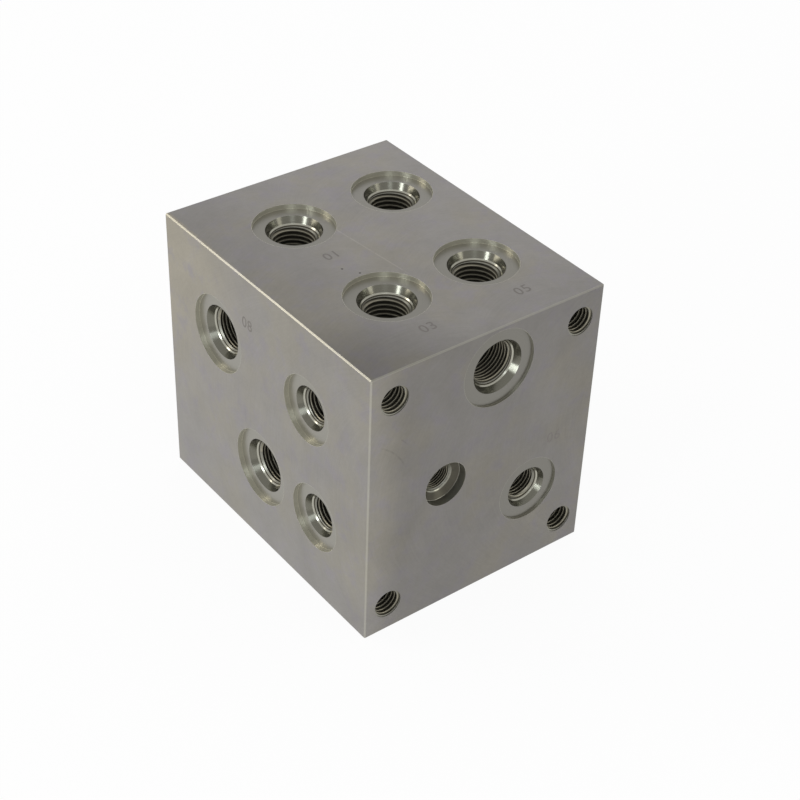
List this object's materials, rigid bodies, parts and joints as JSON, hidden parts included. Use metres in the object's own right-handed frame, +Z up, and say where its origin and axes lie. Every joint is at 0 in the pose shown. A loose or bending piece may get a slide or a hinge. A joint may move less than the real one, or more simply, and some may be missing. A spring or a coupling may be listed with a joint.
{
  "type": "hydraulic manifold block",
  "caption": "Rectangular milled steel manifold block with threaded, spotfaced ports on three faces that cross drillings join inside.",
  "frame": {"origin": "middle of the underside", "axes": "+Z up out of the top ports, +Y from the face with the tapped mounting holes to the back, -X out of the left face with four ports"},
  "size_m": [0.106, 0.133, 0.12],
  "materials": {
    "steel": "milled steel, satin, with bright turned port mouths"
  },
  "bodies": {
    "root": {"manifold_block": "steel"}
  },
  "joints": []
}
